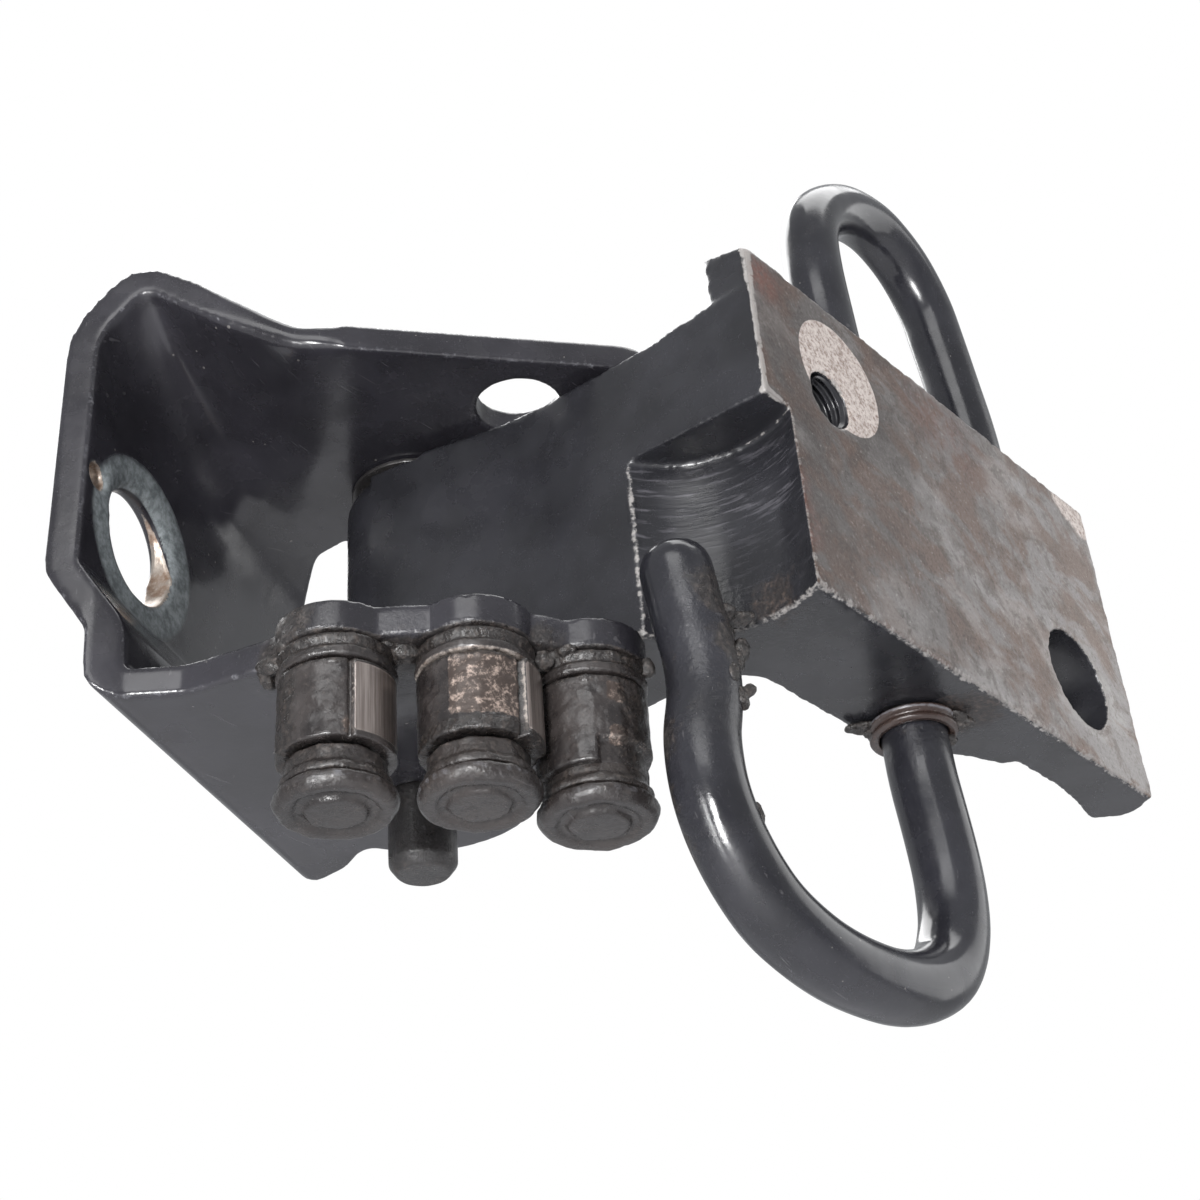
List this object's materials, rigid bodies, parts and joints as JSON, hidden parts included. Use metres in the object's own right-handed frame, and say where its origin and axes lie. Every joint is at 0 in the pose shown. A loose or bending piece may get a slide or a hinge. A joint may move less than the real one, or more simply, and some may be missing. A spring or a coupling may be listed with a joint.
{
  "type": "door hinge with torsion rod door check",
  "caption": "Vertical-pin door hinge: a folded steel pillar bracket, a forged door leaf, and a looped torsion rod whose free leg rides over rollers to hold the door open.",
  "frame": {"origin": "centre of the pillar bracket's flat mounting face", "axes": "+Z along the hinge pin, towards its head; +X away from the pillar face, into the bracket; +Y along the pillar face, towards the bracket's rear edge"},
  "size_m": [0.1167, 0.0996, 0.1466],
  "materials": {
    "black_paint": "glossy black primer paint with grease and scratches",
    "worn_forging": "glossy black paint, with a bare worn grey and brown steel mounting face",
    "rod_paint": "glossy black paint over smooth drawn steel",
    "roller_steel": "greasy dark steel with polished strips",
    "bearing_bronze": "dull greasy bronze"
  },
  "bodies": {
    "pillar_side": {"pillar_bracket": "black_paint", "hinge_pin": "black_paint", "lower_thrust_washer": "bearing_bronze", "upper_thrust_washer": "bearing_bronze", "roller_pin_1": "black_paint", "roller_pin_2": "black_paint", "roller_pin_3": "black_paint", "roller_washer_1": "roller_steel", "roller_washer_2": "roller_steel", "roller_washer_3": "roller_steel", "roller_spacer_1": "black_paint", "roller_spacer_2": "black_paint", "roller_spacer_3": "black_paint"},
    "door_side": {"door_leaf": "worn_forging", "torsion_rod": "rod_paint", "rod_ring": "black_paint", "lower_barrel_bush": "bearing_bronze", "upper_barrel_bush": "bearing_bronze"},
    "roller_1": {"roller_sleeve_1": "roller_steel"},
    "roller_2": {"roller_sleeve_2": "roller_steel"},
    "roller_3": {"roller_sleeve_3": "roller_steel"}
  },
  "joints": [
    {"name": "door_swing", "type": "hinge", "parent": "pillar_side", "child": "door_side", "pos_m": [0.0302, 0.0079, 0], "axis": [0, 0, 1], "range_deg": [-67, 8]},
    {"name": "roller_spin_1", "type": "hinge", "parent": "pillar_side", "child": "roller_1", "pos_m": [0.03434, -0.02585, -0.0393], "axis": [0, 0, 1], "continuous": true},
    {"name": "roller_spin_2", "type": "hinge", "parent": "pillar_side", "child": "roller_2", "pos_m": [0.04862, -0.02068, -0.0393], "axis": [0, 0, 1], "continuous": true},
    {"name": "roller_spin_3", "type": "hinge", "parent": "pillar_side", "child": "roller_3", "pos_m": [0.05855, -0.01087, -0.0393], "axis": [0, 0, 1], "continuous": true}
  ]
}
